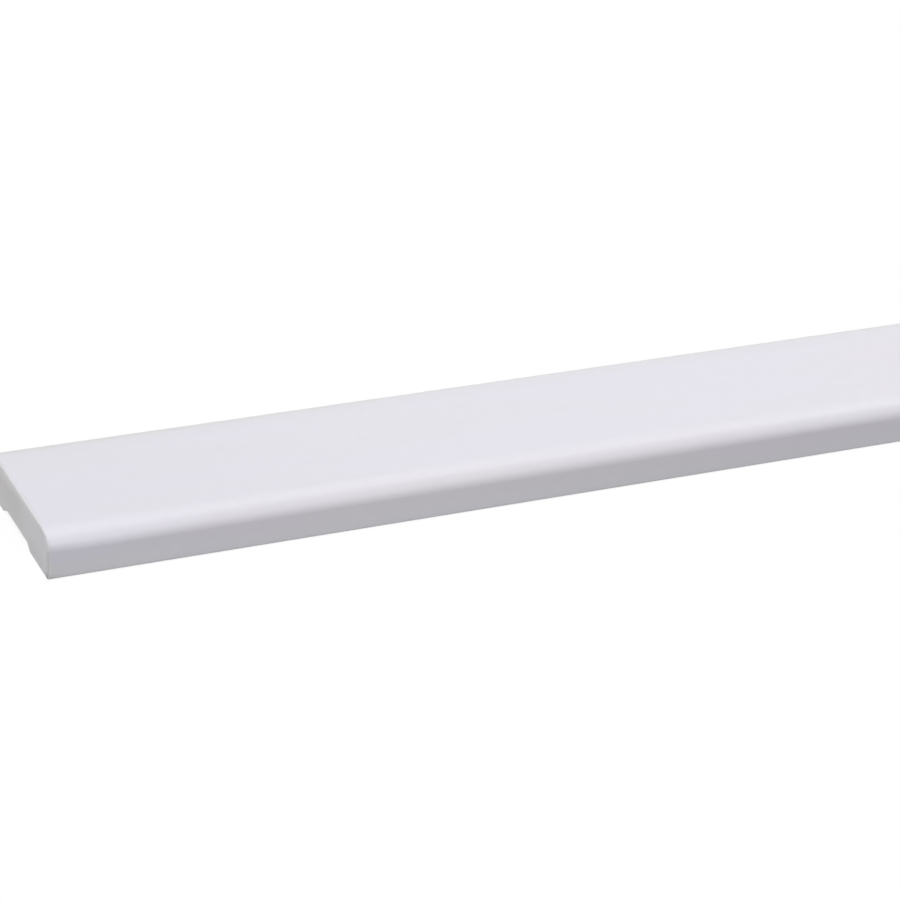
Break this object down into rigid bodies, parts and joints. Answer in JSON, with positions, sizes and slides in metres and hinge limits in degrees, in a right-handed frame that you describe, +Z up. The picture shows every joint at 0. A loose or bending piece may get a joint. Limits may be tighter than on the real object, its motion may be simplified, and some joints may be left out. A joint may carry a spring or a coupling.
{
  "type": "wood trim strip",
  "caption": "Flat white trim strip with a soft rounded nose along one long edge, a small round along the other and a shallow relief channel along its back.",
  "frame": {"origin": "middle of the footprint, on the plane of the two back lands", "axes": "+X along the length, +Y from the rounded nose to the back edge, +Z up out of the show face"},
  "size_m": [2.4, 0.06, 0.015],
  "materials": {
    "white_coat": "smooth satin white factory coat over wood stock, the same on the sawn ends"
  },
  "bodies": {
    "root": {"trim_strip": "white_coat"}
  },
  "joints": []
}
